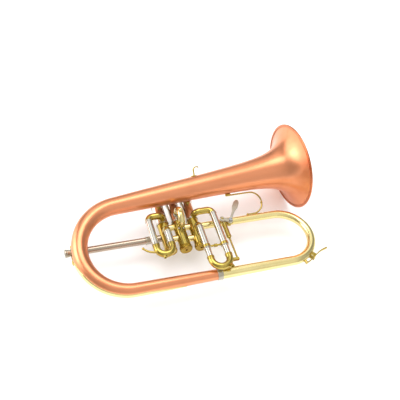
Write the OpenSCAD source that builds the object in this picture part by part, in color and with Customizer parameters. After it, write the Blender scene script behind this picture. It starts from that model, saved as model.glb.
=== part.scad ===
// Three-valve flugelhorn lying on its side. Millimetres, +Z up.
// Origin: mouth of the mouthpiece receiver, on the leadpipe axis. +X towards the bell,
// +Y towards the finger buttons, +Z towards the bell side of the valves.

/* [Bell] */
// radius of the bell at its rim
rim_r = 76; // [70:0.5:80]
// radius of the rolled rim wire
rim_wire_r = 1.5; // [1:0.1:2.5]
// wall of the copper tubing and bell
wall = 0.7; // [0.5:0.1:1.2]
// upward tilt of the bell against the leadpipe, in degrees
bell_tilt = 5.06; // [0:0.02:8]
// sideways slant of the bell and bow plane, in degrees
slant = 11.3; // [5:0.1:20]

/* [Bell bow and tail] */
// radius of the bell bow centre line
bow_r = 75.4; // [65:0.2:85]
// outer radius of the bow where the tail joins it
bow_r_tail = 10.6; // [9:0.1:12]
// outer radius of the bow at its rear apex
bow_r_apex = 13.1; // [11:0.1:15]
// outer radius of the bow where the bell throat starts
bow_r_bell = 15.1; // [13:0.1:17]
// outer radius of the copper tail at its front end
tail_r = 8.8; // [8:0.1:10]

/* [Front bow] */
// radius of the front bow centre line
front_r = 50.3; // [40:0.5:60]
// outer radius of the upper tube at the third valve
upper_r = 6.1; // [5.5:0.1:7]
// outer radius of the upper tube where the front bow starts
upper_r_front = 6.8; // [6:0.1:8]
// outer radius of the lower tube where the front bow ends
lower_r_front = 8.1; // [7:0.1:9]

/* [Valves] */
// distance between valve centres
valve_pitch = 26.3; // [25:0.1:30]
// outer radius of a valve casing
casing_r = 9.8; // [9.4:0.1:11]
// bore radius of a valve casing
valve_bore = 8.4; // [8:0.05:9]
// radial clearance of a piston in its casing
piston_gap = 0.06; // [0.02:0.01:0.1]
// travel of a piston
piston_travel = 16; // [14:0.5:18]
// outer radius of the caps
cap_r = 10.8; // [10.2:0.1:12]

/* [Slides] */
// outer radius of the fixed slide sleeves
sleeve_r = 5.9; // [5.4:0.1:6.5]
// outer radius of the moving slide legs
leg_r = 5.2; // [4.8:0.05:5.5]
// radial clearance of a leg in its sleeve
leg_gap = 0.05; // [0.02:0.01:0.1]
// centre line radius of the first slide bow
s1_r = 13; // [10:0.5:16]
// centre line radius of the second slide bow
s2_r = 13.5; // [10:0.5:16]
// centre line radius of the third slide bow
s3_r = 15.5; // [12:0.5:20]

/* [Leadpipe] */
// outer radius of the leadpipe
lead_r = 5.9; // [5.4:0.1:6.5]
// outer radius of the sliding mouthpipe
mouthpipe_r = 5.4; // [5:0.05:6]
// radius of the receiver bore
receiver_bore = 4.85; // [4.6:0.05:5.2]
// length of the receiver bore
receiver_len = 30; // [20:1:40]

/* [Hidden] */
$fn = 48;

// valve frame: foot of the second valve, measured from the receiver mouth
vx = 196;
vy = -34;
vz = 3.6;
// leadpipe axis in the valve frame
lead_y = -vy;
lead_z = -vz;
// tail line and bow centre in the valve frame
tail_y = -56.8;
bow_x = -98.5;
tail_end = 38;
// bell start and length
bell_x0 = bow_x - bow_r * sin(bell_tilt);
bell_w0 = bow_r + bow_r * cos(bell_tilt);
bell_x1 = 228.5;
bell_len = (bell_x1 - bell_x0) / cos(bell_tilt);
flare_len = 70;
// front bow
upper_y = tail_y + 2 * front_r;
front_x = 172.5;
valve_xs = [-valve_pitch, 0, valve_pitch];
casing_y1 = 58;
cap_y1 = 107;
// slides
s1_xl = -53;
s1_xr = s1_xl + 2 * s1_r;
s1_z = 20;
s1_y = -1;
s2_x = 0.5;
s2_yc = 55;
s2_z = 18;
s3_xl = 29;
s3_xr = s3_xl + 2 * s3_r;
s3_z = 18;
s3_y = -38.5;
elbow = 9;
// trigger
piv = [87, 36];
rod_x = 74;
rod_z = 13.5;
link_z = rod_z - 4.2;
arm_up = 25;
paddle_a = 57.4;
arm_len = (piv[0] - rod_x) / cos(arm_up);
pin_y = piv[1] + arm_len * sin(arm_up);
copper = [0.86, 0.52, 0.37];
brass = [0.83, 0.69, 0.30];
nickel = [0.80, 0.80, 0.78];
steel = [0.65, 0.66, 0.68];

module place() translate([vx, vy, vz]) children();
module bow_plane() translate([0, tail_y, 0]) rotate([slant, 0, 0]) children();
module ycyl(x, y0, y1, z, r) translate([x, y0, z]) rotate([-90, 0, 0]) cylinder(h = y1 - y0, r = r);
module xcyl(x0, x1, y, z, r) translate([x0, y, z]) rotate([0, 90, 0]) cylinder(h = x1 - x0, r = r);
module zcyl(x, y, z0, z1, r) translate([x, y, z0]) cylinder(h = z1 - z0, r = r);
module xcone(x0, x1, y, z, r0, r1) translate([x0, y, z]) rotate([0, 90, 0])
    cylinder(h = x1 - x0, r1 = r0, r2 = r1);
module bend(ang, r, ro, ri) rotate_extrude(angle = ang) translate([r, 0]) difference() {
    circle(r = ro);
    if (ri > 0) circle(r = ri);
}

// a swept tube: centres C, in-plane normals U, common normal N, radii R, wall t (0 = solid), n sides
function loop_pts(c, u, nn, r, n) =
    [for (i = [0:n - 1]) c + r * (cos(360 * i / n) * u + sin(360 * i / n) * nn)];
function band(a, b, n) =
    [for (i = [0:n - 1]) let (j = (i + 1) % n) each [[a + i, b + i, a + j], [a + j, b + i, b + j]]];
module sweep(C, U, N, R, t, n) {
    m = len(C);
    outer = [for (k = [0:m - 1]) each loop_pts(C[k], U[k], N, R[k], n)];
    inner = t > 0 ? [for (k = [0:m - 1]) each loop_pts(C[k], U[k], N, R[k] - t, n)] : [];
    o = m * n;
    fo = [for (k = [0:m - 2]) each band(k * n, (k + 1) * n, n)];
    fi = t > 0 ? [for (k = [0:m - 2]) each band(o + (k + 1) * n, o + k * n, n)] : [];
    fa = t > 0 ? band(o, 0, n) : [[for (i = [0:n - 1]) i]];
    fb = t > 0 ? band((m - 1) * n, o + (m - 1) * n, n) : [[for (i = [0:n - 1]) m * n - 1 - i]];
    polyhedron(points = concat(outer, inner), faces = concat(fo, fi, fa, fb), convexity = 8);
}
// centre line radius of the bow's tube at angle f (0 at the tail, 180 at the bell)
function bow_tube(f) = f < 90 ? bow_r_tail + (bow_r_apex - bow_r_tail) * f / 90
    : bow_r_apex + (bow_r_bell - bow_r_apex) * (f - 90) / (90 - bell_tilt);
function bow_out(f) = [-sin(f), -cos(f), 0];
function tail_tube_r(x) = bow_r_tail + (tail_r - bow_r_tail) * (x - bow_x) / (tail_end - bow_x);
// bell outer radius at distance d behind the rim
function bell_r(d) = 25 - 0.0292 * d + (rim_r - 25) * pow(1 + d / 38, -2.2);
function bell_nrm(d) = let (s = (bell_r(d + 0.5) - bell_r(d)) / 0.5, l = sqrt(1 + s * s)) [-1 / l, -s / l];
function bell_pt(d, o) = let (n = bell_nrm(d)) [bell_r(d) + o * n[0], bell_len - d + o * n[1]];
flare_d = [for (i = [0:16]) 0.7 + (flare_len - 0.7) * pow(i / 16, 1.5)];
throat_d = [for (i = [0:14]) flare_len + (bell_len - flare_len) * i / 14];

// solid that fills the bell near x to just inside its wall, for shaping what is soldered to it
module bell_core(x) bell_axis() translate([0, 0, (x - bell_x0) / cos(bell_tilt) - 12])
    cylinder(h = 24, r1 = bell_r((bell_x1 - x) / cos(bell_tilt) + 12) - wall / 2,
        r2 = bell_r((bell_x1 - x) / cos(bell_tilt) - 12) - wall / 2);
module bell_axis() bow_plane() translate([bell_x0, bell_w0, 0])
    rotate([0, 0, bell_tilt]) rotate([0, 90, 0]) children();
module bell_flare() color(copper) place() bell_axis() rotate_extrude($fn = 96)
    polygon(concat([for (d = flare_d) bell_pt(d, 0)],
        [for (i = [16:-1:0]) [bell_pt(flare_d[i], wall)[0],
            i == 16 ? bell_len - flare_len : bell_pt(flare_d[i], wall)[1]]]));
module bell_throat() color(copper) place() bell_axis() rotate_extrude($fn = 64)
    polygon(concat([for (d = throat_d) [bell_r(d), bell_len - d]],
        [for (i = [14:-1:0]) [bell_r(throat_d[i]) - wall, bell_len - throat_d[i]]]));
module rim_wire() color(copper) place() bell_axis() translate([0, 0, bell_len])
    rotate_extrude($fn = 96) translate([rim_r, 0]) circle(r = rim_wire_r, $fn = 24);

bow_n = 26;
bow_f = [for (i = [0:bow_n]) (180 - bell_tilt) * i / bow_n];
module bell_bow() color(copper) place() bow_plane() sweep(
    [for (f = bow_f) [bow_x, bow_r, 0] + bow_r * bow_out(f)], [for (f = bow_f) bow_out(f)], [0, 0, 1],
    [for (f = bow_f) bow_tube(f)], wall, 28);
module tail_tube() color(copper) place() difference() {
    xcone(bow_x, tail_end, tail_y, 0, bow_r_tail, tail_r);
    xcone(bow_x - 0.1, tail_end + 0.1, tail_y, 0, bow_r_tail - wall, tail_r - wall);
}
module ring_x(x0, x1, y, z, ro, ri) difference() {
    xcyl(x0, x1, y, z, ro);
    xcyl(x0 - 0.1, x1 + 0.1, y, z, ri);
}
module ferrules() color(nickel) place() {
    ring_x(tail_end - 3, tail_end + 6, tail_y, 0, tail_r + 0.9, tail_r + 0.05);
    ring_x(-62, -51, lead_y, lead_z, lead_r + 1, lead_r);
}
// brass guard strip round the outside of the bow and along the tail
guard_n = 18;
guard_m = 8;
function guard_half(i) = 6 + 24 * min(1, i / 5, (guard_n + guard_m - i) / 4);
function guard_frame(i) = i < guard_m
    ? let (x = -20 + (bow_x + 20) * i / guard_m) [[x, 0, 0], [0, -1, 0], tail_tube_r(x)]
    : let (f = 80 * (i - guard_m) / guard_n)
        [[bow_x, bow_r, 0] + bow_r * bow_out(f), bow_out(f), bow_tube(f)];
function guard_ring(i) = let (g = guard_frame(i), h = guard_half(i))
    [for (k = [0:6]) let (a = -h + h * k / 3) g[0] + (g[2] - 0.12) * (cos(a) * g[1] + [0, 0, sin(a)])];
function guard_ring_out(i) = let (g = guard_frame(i), h = guard_half(i))
    [for (k = [6:-1:0]) let (a = -h + h * k / 3) g[0] + (g[2] + 1.3) * (cos(a) * g[1] + [0, 0, sin(a)])];
module bow_guard() color(brass) place() bow_plane() {
    m = guard_n + guard_m;
    polyhedron(points = [for (i = [0:m]) each concat(guard_ring(i), guard_ring_out(i))],
        faces = concat([for (k = [0:m - 1]) each band((k + 1) * 14, k * 14, 14)],
            [[for (i = [13:-1:0]) i]], [[for (i = [0:13]) m * 14 + i]]), convexity = 6);
}

// front bow
module hollow_cone(x0, x1, y, z, r0, r1, t) difference() {
    xcone(x0, x1, y, z, r0, r1);
    xcone(x0 - 0.1, x1 + 0.1, y, z, r0 - t, r1 - t);
}
module lower_tube() color(brass) place()
    hollow_cone(tail_end, front_x, tail_y, 0, tail_r, lower_r_front, 0.6);
front_n = 24;
front_f = [for (i = [0:front_n]) 180 * i / front_n];
module front_bow() color(brass) place() translate([front_x, tail_y + front_r, 0]) sweep(
    [for (f = front_f) front_r * [sin(f), cos(f), 0]], [for (f = front_f) [sin(f), cos(f), 0]], [0, 0, -1],
    [for (f = front_f) upper_r_front + (lower_r_front - upper_r_front) * f / 180], 0.6, 24);
module upper_tube() color(brass) place() difference() {
    xcone(valve_pitch, front_x, upper_y, 0, upper_r, upper_r_front);
    xcone(valve_pitch - 0.1, front_x + 0.1, upper_y, 0, upper_r - 0.6, upper_r_front - 0.6);
    ycyl(valve_pitch, 0, 70, 0, casing_r);
}

// valves
module y_ring(x, y0, y1, z, ro, ri) difference() {
    ycyl(x, y0, y1, z, ro);
    ycyl(x, y0 - 0.1, y1 + 0.1, z, ri);
}
module casing(x, ports) difference() {
    ycyl(x, 3, casing_y1, 0, casing_r);
    ycyl(x, 2.9, casing_y1 + 0.1, 0, valve_bore);
    for (p = ports) zcyl(x + p[0], p[1], 0, 12, 4.4);
}
module casing_1() color(brass) place() casing(-valve_pitch, [[-0.7, 38]]);
module casing_2() color(brass) place() casing(0, [[0.5, s2_yc - s2_r]]);
module casing_3() color(brass) place() casing(valve_pitch, [[2.7, 38]]);
module balusters() color(nickel) place() for (x = valve_xs)
    y_ring(x, casing_y1, 97, 0, casing_r + 0.4, valve_bore);
module bottom_caps() color(brass) place() for (x = valve_xs) difference() {
    union() {
        ycyl(x, 0.8, 7.5, 0, cap_r);
        translate([x, 0, 0]) rotate([-90, 0, 0]) cylinder(h = 0.8, r1 = cap_r - 0.8, r2 = cap_r);
    }
    ycyl(x, 3, 8, 0, casing_r);
    ycyl(x, -0.1, 3.1, 0, 1.5);
}
module top_caps() color(nickel) place() for (x = valve_xs) difference() {
    union() {
        ycyl(x, 97, 103, 0, cap_r);
        translate([x, 103, 0]) rotate([-90, 0, 0]) cylinder(h = 4, r1 = cap_r, r2 = 6.5);
    }
    ycyl(x, 96.9, 104, 0, valve_bore);
    ycyl(x, 103, 108, 0, 2.56);
}
module bridge(xa, y) difference() {
    xcyl(xa, xa + valve_pitch, y, 0, 5.4);
    xcyl(xa - 1, xa + valve_pitch + 1, y, 0, 4.8);
    ycyl(xa, y - 8, y + 8, 0, casing_r);
    ycyl(xa + valve_pitch, y - 8, y + 8, 0, casing_r);
}
module casing_bridges() color(brass) place() {
    bridge(-valve_pitch, 50);
    bridge(-valve_pitch, 26);
    bridge(0, 46);
    bridge(0, 22);
}
module piston(x) difference() {
    union() {
        ycyl(x, 40, 92, 0, valve_bore - piston_gap);
        ycyl(x, 92, 126.6, 0, 2.5);
    }
    ycyl(x, 39, 88, 0, valve_bore - 1.3);
}
module button(x) difference() {
    union() {
        ycyl(x, 126, 129, 0, 8);
        translate([x, 129, 0]) rotate([-90, 0, 0]) cylinder(h = 0.8, r1 = 8, r2 = 7.3);
    }
    ycyl(x, 127.6, 130, 0, 6.2);
    ycyl(x, 125.9, 126.6, 0, 2.5);
}
module pearl(x) translate([x, 127.6, 0]) rotate([-90, 0, 0]) rotate_extrude()
    polygon(concat([[0, 0], [6.2, 0]],
        [for (i = [0:6]) let (q = 6.2 * (1 - i / 6)) [q, 2.7 - 0.9 * pow(q / 6.2, 2)]]));
module felt(x) y_ring(x, 123.5, 126, 0, 6, 2.52);
// coil spring under the piston
spring_t = 6;
function coil(i) = let (a = 360 * i / 14) [6.2 * cos(a), 9.2 + 29.6 * i / (14 * spring_t), 6.2 * sin(a)];
function coil_u(i) = let (a = 360 * i / 14) [cos(a), 0, sin(a)];
module coil_sweep() {
    m = 14 * spring_t;
    pts = [for (i = [0:m]) let (u = coil_u(i))
        each [for (k = [0:5]) coil(i) + 0.6 * (cos(60 * k) * u + [0, sin(60 * k), 0])]];
    polyhedron(points = pts, faces = concat([for (i = [0:m - 1]) each band(i * 6, (i + 1) * 6, 6)],
        [[for (i = [0:5]) i]], [[for (i = [5:-1:0]) m * 6 + i]]), convexity = 12);
}
module spring(x) translate([x, 0, 0]) {
    difference() {
        union() { ycyl(0, 3, 9.4, 0, 6.6); ycyl(0, 38.4, 40, 0, 6.6); }
        ycyl(0, 2.9, 41, 0, 5.7);
    }
    coil_sweep();
}
module piston_1() color(nickel) place() piston(-valve_pitch);
module piston_2() color(nickel) place() piston(0);
module piston_3() color(nickel) place() piston(valve_pitch);
module button_1() color(nickel) place() button(-valve_pitch);
module button_2() color(nickel) place() button(0);
module button_3() color(nickel) place() button(valve_pitch);
module pearl_1() color([0.93, 0.92, 0.88]) place() pearl(-valve_pitch);
module pearl_2() color([0.93, 0.92, 0.88]) place() pearl(0);
module pearl_3() color([0.93, 0.92, 0.88]) place() pearl(valve_pitch);
module felt_1() color([0.15, 0.15, 0.16]) place() felt(-valve_pitch);
module felt_2() color([0.15, 0.15, 0.16]) place() felt(0);
module felt_3() color([0.15, 0.15, 0.16]) place() felt(valve_pitch);
module spring_1() color(steel) place() spring(-valve_pitch);
module spring_2() color(steel) place() spring(0);
module spring_3() color(steel) place() spring(valve_pitch);

// leadpipe and mouthpipe
module leadpipe() color(nickel) place() difference() {
    xcyl(-186, -valve_pitch, lead_y, lead_z, lead_r);
    xcyl(-186.1, -90, lead_y, lead_z, mouthpipe_r + 0.05);
    xcyl(-90.1, -valve_pitch + 1, lead_y, lead_z, lead_r - 0.9);
    ycyl(-valve_pitch, 0, 70, 0, casing_r);
}
module mouthpipe() color(nickel) place() difference() {
    union() {
        xcyl(-vx, -192, lead_y, lead_z, 7.2);
        xcyl(-192, -187.5, lead_y, lead_z, 6.4);
        xcyl(-187.5, -95, lead_y, lead_z, mouthpipe_r);
    }
    xcyl(-vx - 0.1, -vx + receiver_len, lead_y, lead_z, receiver_bore);
    xcyl(-vx + receiver_len - 0.1, -94, lead_y, lead_z, 4.3);
}
clamp_x = -183;
module clamp_collar() color(brass) place() difference() {
    union() {
        xcyl(clamp_x - 3, clamp_x + 3, lead_y, lead_z, 8.2);
        ycyl(clamp_x, lead_y - 13, lead_y, lead_z, 3.9);
        ycyl(clamp_x, lead_y, lead_y + 11, lead_z, 2.2);
        translate([clamp_x, lead_y + 11.6, lead_z]) sphere(r = 3, $fn = 24);
    }
    xcyl(clamp_x - 4, clamp_x + 4, lead_y, lead_z, lead_r);
    ycyl(clamp_x, lead_y - 14, lead_y - 5, lead_z, 2.06);
}
module clamp_screw() color(brass) place() {
    ycyl(clamp_x, lead_y - 16, lead_y - lead_r - 2.3, lead_z, 2);
    ycyl(clamp_x, lead_y - 23.5, lead_y - 15.5, lead_z, 4.4);
    ycyl(clamp_x, lead_y - 15.5, lead_y - 14.3, lead_z, 3.2);
}

// first slide
module elbow_zx(x, y, z, sx) translate([x + sx * elbow, y, z - elbow])
    rotate([90, 0, 0]) rotate([0, 0, sx > 0 ? 90 : 0]) bend(90, elbow, sleeve_r, sleeve_r - 0.7);
module elbow_xy(x, y, z, sx) translate([x, y - elbow, z])
    rotate([0, 0, sx > 0 ? 0 : 90]) bend(90, elbow, sleeve_r, sleeve_r - 0.7);
module elbow_zy(x, y, z) translate([x, y - elbow, z - elbow])
    rotate([0, -90, 0]) bend(90, elbow, sleeve_r, sleeve_r - 0.7);
module knuckle(x, y, z1, cx) difference() {
    zcyl(x, y, 0, z1, sleeve_r);
    zcyl(x, y, -1, z1 + 1, sleeve_r - 0.7);
    ycyl(cx, y - 9, y + 9, 0, y > casing_y1 - 1 ? casing_r + 0.4 : casing_r);
}
module slide1_crook() color(brass) place() {
    difference() {
        knuckle(s1_xr, 64, s1_z - elbow, -valve_pitch);
        ycyl(-valve_pitch, 50, 75, 0, casing_r + 0.4);
    }
    elbow_zx(s1_xr, 64, s1_z, -1);
    ring_x(s1_xl + elbow, s1_xr - elbow, 64, s1_z, sleeve_r, sleeve_r - 0.7);
    elbow_xy(s1_xl + elbow, 64, s1_z, -1);
    knuckle(s1_xr, 38, s1_z - elbow, -valve_pitch);
    elbow_zy(s1_xr, 38, s1_z);
}
module slide1_sleeves() color(nickel) place() {
    y_ring(s1_xl, 6, 64 - elbow, s1_z, sleeve_r, leg_r + leg_gap);
    y_ring(s1_xr, 6, 38 - elbow, s1_z, sleeve_r, leg_r + leg_gap);
}
module slide1_legs() color(nickel) place() {
    y_ring(s1_xl, s1_y, 50, s1_z, leg_r, leg_r - 0.6);
    y_ring(s1_xr, s1_y, 28, s1_z, leg_r, leg_r - 0.6);
}
module slide1_bow() color(brass) place() difference() {
    union() {
        translate([s1_xl + s1_r, s1_y, s1_z]) rotate([0, 0, 180]) bend(180, s1_r, sleeve_r, 0);
        ycyl(s1_xl, s1_y, 5, s1_z, sleeve_r);
        ycyl(s1_xr, s1_y, 5, s1_z, sleeve_r);
        ycyl(s1_xl + s1_r - 4, s1_y - s1_r - 7.5, s1_y - s1_r, s1_z + 1, 3);
    }
    translate([s1_xl + s1_r, s1_y, s1_z]) rotate([0, 0, 180]) bend(180, s1_r, leg_r - 0.6, 0);
    ycyl(s1_xl, s1_y, 5.1, s1_z, leg_r);
    ycyl(s1_xr, s1_y, 5.1, s1_z, leg_r);
    ycyl(s1_xl + s1_r - 4, s1_y - s1_r - 8, s1_y - s1_r - 3, s1_z + 1, 1.4);
}
// curved finger pull on the first slide bow
module slide1_pull() color(brass) place() translate([s1_xl - 3, s1_y - 9, s1_z + 4]) {
    sphere(r = 2.6, $fn = 24);
    translate([0, 24, 0]) rotate([0, 0, 214])
        rotate_extrude(angle = 52) translate([24, 0]) circle(r = 1.4, $fn = 24);
    translate([0, 24, 0]) rotate([0, 0, 214]) translate([24, 0, 0]) sphere(r = 1.9, $fn = 24);
}

// second slide, pulled out sideways
module slide2_sleeves() color(nickel) place() for (y = [s2_yc - s2_r, s2_yc + s2_r]) difference() {
    zcyl(s2_x, y, 0, 15.5, sleeve_r + 0.2);
    zcyl(s2_x, y, -1, 16, leg_r + leg_gap);
    ycyl(0, y - 9, y + 9, 0, casing_r + (y > casing_y1 - 8 ? 0.4 : 0));
}
module slide2_legs() color(nickel) place() for (y = [s2_yc - s2_r, s2_yc + s2_r]) difference() {
    zcyl(s2_x, y, 0, s2_z, leg_r);
    zcyl(s2_x, y, -1, s2_z + 1, leg_r - 0.6);
    ycyl(0, y - 9, y + 9, 0, casing_r + 0.7);
}
module slide2_bow() color(brass) place() difference() {
    union() {
        translate([s2_x, s2_yc, s2_z]) rotate([0, -90, 0]) rotate([0, 0, -90]) bend(180, s2_r, sleeve_r, 0);
        for (y = [s2_yc - s2_r, s2_yc + s2_r]) zcyl(s2_x, y, s2_z - 2, s2_z, sleeve_r);
        zcyl(s2_x, s2_yc, s2_z + s2_r, s2_z + s2_r + 7.6, 2.6);
        translate([s2_x, s2_yc, s2_z + s2_r + 8.6]) sphere(r = 3.2, $fn = 24);
    }
    translate([s2_x, s2_yc, s2_z]) rotate([0, -90, 0]) rotate([0, 0, -90]) bend(180, s2_r, leg_r - 0.6, 0);
    for (y = [s2_yc - s2_r, s2_yc + s2_r]) zcyl(s2_x, y, s2_z - 2.1, s2_z, leg_r);
}

// third slide
s3_top = 62;
module slide3_crook() color(brass) place() {
    knuckle(s3_xl, s3_top, s3_z - elbow, valve_pitch);
    elbow_zx(s3_xl, s3_top, s3_z, 1);
    ring_x(s3_xl + elbow, s3_xr - elbow, s3_top, s3_z, sleeve_r, sleeve_r - 0.7);
    elbow_xy(s3_xr - elbow, s3_top, s3_z, 1);
    knuckle(s3_xl, 38, s3_z - elbow, valve_pitch);
    elbow_zy(s3_xl, 38, s3_z);
}
module slide3_sleeves() color(nickel) place() {
    y_ring(s3_xl, -16, 38 - elbow, s3_z, sleeve_r, leg_r + leg_gap);
    y_ring(s3_xr, -16, s3_top - elbow, s3_z, sleeve_r, leg_r + leg_gap);
}
module slide3_legs() color(nickel) place() {
    y_ring(s3_xl, s3_y, 26, s3_z, leg_r, leg_r - 0.6);
    y_ring(s3_xr, s3_y, 48, s3_z, leg_r, leg_r - 0.6);
}
module slide3_bow() color(brass) place() difference() {
    union() {
        translate([s3_xl + s3_r, s3_y, s3_z]) rotate([0, 0, 180]) bend(180, s3_r, sleeve_r, 0);
        ycyl(s3_xl, s3_y, s3_y + 6, s3_z, sleeve_r);
        ycyl(s3_xr, s3_y, s3_y + 6, s3_z, sleeve_r);
        translate([s3_xr - 2.5, s3_y - 15.5, s3_z + 1]) rotate([60, 0, 0])
            translate([0, 0, -3]) cylinder(h = 10.5, r = 3.4);
    }
    translate([s3_xl + s3_r, s3_y, s3_z]) rotate([0, 0, 180]) bend(180, s3_r, leg_r - 0.6, 0);
    ycyl(s3_xl, s3_y, s3_y + 6.1, s3_z, leg_r);
    ycyl(s3_xr, s3_y, s3_y + 6.1, s3_z, leg_r);
    translate([s3_xr - 2.5, s3_y - 15.5, s3_z + 1]) rotate([60, 0, 0])
        translate([0, 0, 3]) cylinder(h = 6, r = 1.7);
}
module slide3_brace() color(brass) place() {
    xcyl(s3_xl + sleeve_r + 0.4, s3_xr - sleeve_r - 0.4, -12, s3_z, 1.8);
    y_ring(s3_xl, -14.5, -9.5, s3_z, sleeve_r + 1, sleeve_r);
    y_ring(s3_xr, -14.5, -9.5, s3_z, sleeve_r + 1, sleeve_r);
    xcyl(s3_xl + s3_r - 2.5, s3_xl + s3_r + 2.5, -12, s3_z, 2.9);
}

// third-slide trigger
module trigger_lever() color(nickel) place() translate([piv[0], piv[1], rod_z - 2.2]) difference() {
    union() {
        cylinder(h = 4.4, r = 4.5);
        rotate([0, 0, 180 - arm_up]) translate([0, -2.6, 0.6]) cube([arm_len - 1, 5.2, 3.2]);
        rotate([0, 0, 180 - arm_up]) translate([arm_len, 0, 0.6]) cylinder(h = 3.2, r = 4.4);
        rotate([0, 0, paddle_a]) translate([0, -2.4, 0.9]) cube([34, 4.8, 2.6]);
        rotate([0, 0, paddle_a]) translate([30, 0, 0.9]) linear_extrude(2.6)
            polygon([for (a = [0:12:348]) [9 * cos(a) + 8, (3.6 + cos(a)) * sin(a)]]);
    }
    translate([0, 0, -1]) cylinder(h = 7, r = 1.56);
    rotate([0, 0, 180 - arm_up]) translate([arm_len - 3.4, -1.9, -1]) cube([10, 3.8, 7]);
}
module trigger_bracket() color(brass) place() difference() {
    translate([piv[0] - 5, piv[1] - 4.5, 2]) cube([10, 12, rod_z - 2.5 - 2]);
    zcyl(piv[0], piv[1], 1, rod_z, 1.5);
    xcyl(piv[0] - 10, piv[0] + 10, upper_y, 0, upper_r + 0.28);
}
module trigger_screw() color(steel) place() {
    zcyl(piv[0], piv[1], 2.5, rod_z + 2.5, 1.5);
    difference() {
        zcyl(piv[0], piv[1], rod_z + 2.5, rod_z + 4.6, 3);
        translate([piv[0] - 4, piv[1] - 0.4, rod_z + 3.6]) cube([8, 0.8, 2]);
    }
}
module trigger_rod() color(brass) place() {
    ycyl(rod_x, 5, pin_y, link_z, 1.5);
    ycyl(rod_x, -43, 5, rod_z, 1.6);
    ycyl(rod_x, 3, 30, rod_z, 4);
    ycyl(rod_x, pin_y - 2.2, pin_y + 2.2, link_z, 2.2);
    zcyl(rod_x, pin_y, link_z - 1, rod_z + 2.4, 1.4);
    difference() {
        translate([s3_xr, -44.5, rod_z - 2.4]) cube([rod_x - s3_xr + 2.4, 4.5, 4.8]);
        ycyl(s3_xr, -50, -30, s3_z, sleeve_r);
    }
}

// water key on the outside of the front bow
fc = [front_x, tail_y + front_r];
module fpolar(a) translate([fc[0], fc[1], 0]) rotate([0, 0, a]) children();
key_r = front_r + lower_r_front + 4.6;
module water_key_saddle() color(brass) place() difference() {
    union() {
        fpolar(-52) translate([front_r + 6, -3, -6.5]) cube([key_r - front_r - 3.4, 6, 2.4]);
        fpolar(-52) translate([front_r + 6, -3, 4.1]) cube([key_r - front_r - 3.4, 6, 2.4]);
        fpolar(-52) translate([key_r, 0, -7.4]) cylinder(h = 14.8, r = 1.2);
        fpolar(-70) xcyl(front_r + 5, key_r - 1.6, 0, 0, 2.6);
    }
    fpolar(-70) xcyl(front_r + 3, front_r + 23, 0, 0, 1.3);
    fpolar(-90) rotate_extrude(angle = 60) translate([front_r, 0]) circle(r = 7.4);
}
module water_key_lever() color(brass) place() difference() {
    union() {
        fpolar(-52) translate([key_r, 0, -3.8]) cylinder(h = 7.6, r = 2.8);
        fpolar(-73) translate([0, 0, -2]) rotate_extrude(angle = 21)
            translate([key_r - 0.4, 0]) square([1.8, 4]);
        fpolar(-52) translate([key_r, 0, -2.2]) rotate([0, 0, -4]) cube([1.8, 27, 4.4]);
        fpolar(-52) translate([key_r, 0, -3.2]) rotate([0, 0, -4]) translate([-0.2, 22, 0])
            rotate([0, 0, -16]) cube([1.8, 9, 6.4]);
    }
    fpolar(-52) translate([key_r, 0, -5]) cylinder(h = 10, r = 1.26);
}
module water_key_cork() color([0.75, 0.6, 0.42]) place()
    fpolar(-70) xcyl(key_r - 1.6, key_r - 0.4, 0, 0, 2.8);

// little-finger hook on the bell tube
hook_x = 42;
hook_w = bell_w0 + (hook_x - bell_x0) * tan(bell_tilt);
hook_r = bell_r((bell_x1 - hook_x) / cos(bell_tilt));
module finger_hook() color(brass) place() bow_plane()
    translate([hook_x, hook_w, 0]) rotate([28, 0, 0]) translate([0, hook_r - 0.6, 0]) {
    difference() {
        ycyl(0, 0, 1.8, 0, 6);
        xcyl(-12, 12, -hook_r + 0.6, 0, hook_r - 0.4);
    }
    translate([-1, 0.8, -3.5]) cube([2.2, 11, 7]);
    translate([6.5, 11.7, -3.5]) rotate([0, 0, 50]) rotate_extrude(angle = 130)
        translate([5.3, 0]) square([2.2, 7]);
}

// loop brace from the bell to the upper tube
lb0 = [96, 86.6, 18.6];
lb1 = [138, 50.2, 3.5];
lb_d = sqrt(pow(lb0[1] - lb1[1], 2) + pow(lb0[2] - lb1[2], 2));
lb_a = atan2(lb0[2] - lb1[2], lb0[1] - lb1[1]);
loop_r = 1.4;
module loop_brace() color(brass) place() {
    translate(lb1) rotate([lb_a, 0, 0]) {
        translate([0, lb_d / 2, 0]) rotate([0, 0, -90]) rotate_extrude(angle = 180)
            translate([lb_d / 2, 0]) circle(r = loop_r, $fn = 24);
        xcyl(lb0[0] - lb1[0], 0, lb_d, 0, loop_r);
        xcyl(-10, 0, 0, 0, loop_r);
        xcyl(-13, -9.5, 0, 0, 2.2);
    }
    translate(lb0) xcyl(-2, 8, 0.8, 0.6, 2.6);
}
// posts joining the bell to the valves and the leadpipe to the bow
module braces() color(brass) place() {
    for (x = [-valve_pitch, valve_pitch]) difference() {
        zcyl(x, 92, 9.6, 19, 4);
        bell_core(x);
    }
    zcyl(-171.5, lead_y, 1.9, 5.2, 3);
}

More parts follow.
